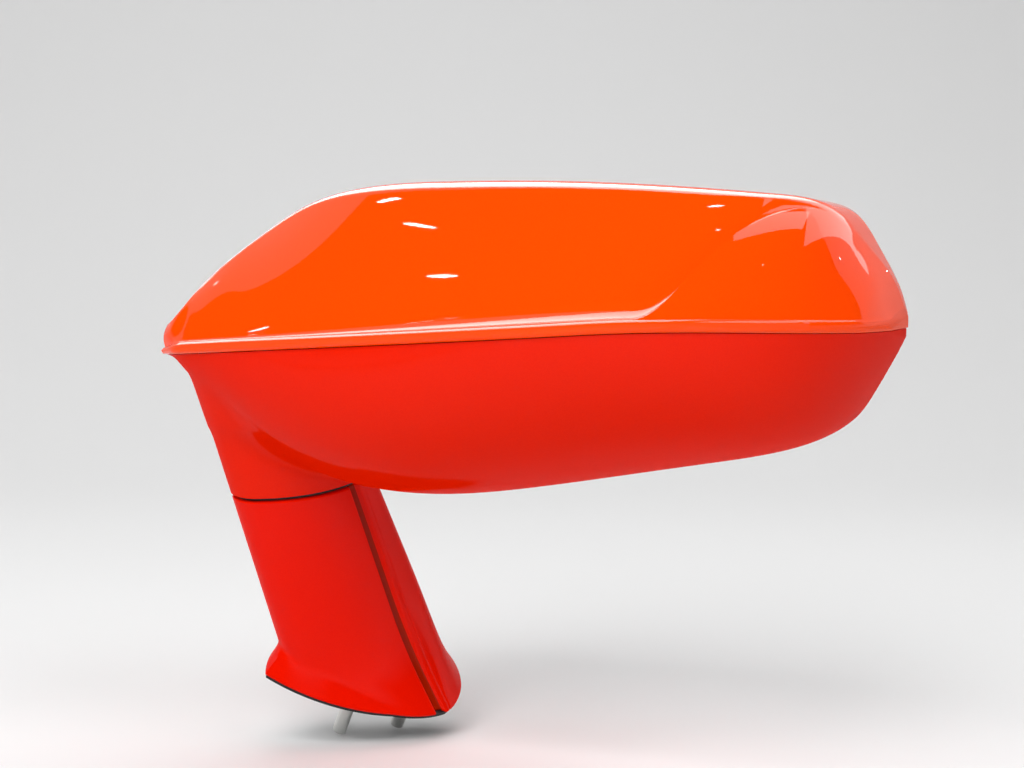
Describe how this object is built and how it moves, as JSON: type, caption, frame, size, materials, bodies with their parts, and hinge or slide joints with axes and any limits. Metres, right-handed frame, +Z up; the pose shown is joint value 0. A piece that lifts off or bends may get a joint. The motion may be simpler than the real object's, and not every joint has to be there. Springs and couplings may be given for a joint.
{
  "type": "car door mirror",
  "caption": "Outside door mirror for a low sports car: painted scooped housing on a raked arm that folds rearward, with a tilting mirror glass.",
  "frame": {"origin": "middle of the foot's mounting face on the door, on the underside of its gasket", "axes": "+X outboard from the car, +Y rearward out of the glass, +Z up; the mounting face slopes with the door's shoulder"},
  "size_m": [0.2636, 0.1734, 0.2429],
  "materials": {
    "paint": "glossy clear coat over orange-red",
    "rubber": "matt black",
    "cast_metal": "cast, satin",
    "steel": "zinc plated",
    "black_plastic": "fine grain black",
    "white_plastic": "natural acetal",
    "mirror_glass": "silvered, slightly blue"
  },
  "bodies": {
    "foot": {"foot_gasket": "rubber", "arm_core": "cast_metal", "mount_studs": "steel", "cable_grommet": "rubber", "arm_front_cover": "paint", "arm_rear_cover": "paint", "pivot_post": "steel", "hinge_ring": "black_plastic"},
    "housing": {"lower_shell": "paint", "upper_cap": "paint", "rim_bezel": "black_plastic", "inner_frame": "black_plastic", "pivot_housing": "cast_metal", "fold_drive": "black_plastic", "adjuster_body": "black_plastic"},
    "tilt_ring": {"gimbal_ring": "white_plastic"},
    "glass": {"glass_carrier": "black_plastic", "mirror_glass": "mirror_glass"}
  },
  "joints": [
    {"name": "fold", "type": "hinge", "parent": "foot", "child": "housing", "pos_m": [-0.00526, -0.03401, 0.0886], "axis": [0.1098, -0.1743, 0.9786], "range_deg": [0, 62]},
    {"name": "glass_yaw", "type": "hinge", "parent": "housing", "child": "tilt_ring", "pos_m": [0.10723, 0.00844, 0.155], "axis": [0, 0, 1], "range_deg": [-7, 7]},
    {"name": "glass_pitch", "type": "hinge", "parent": "tilt_ring", "child": "glass", "pos_m": [0.10723, 0.00844, 0.155], "axis": [0.9613, 0.2756, 0], "range_deg": [-8, 8]}
  ]
}
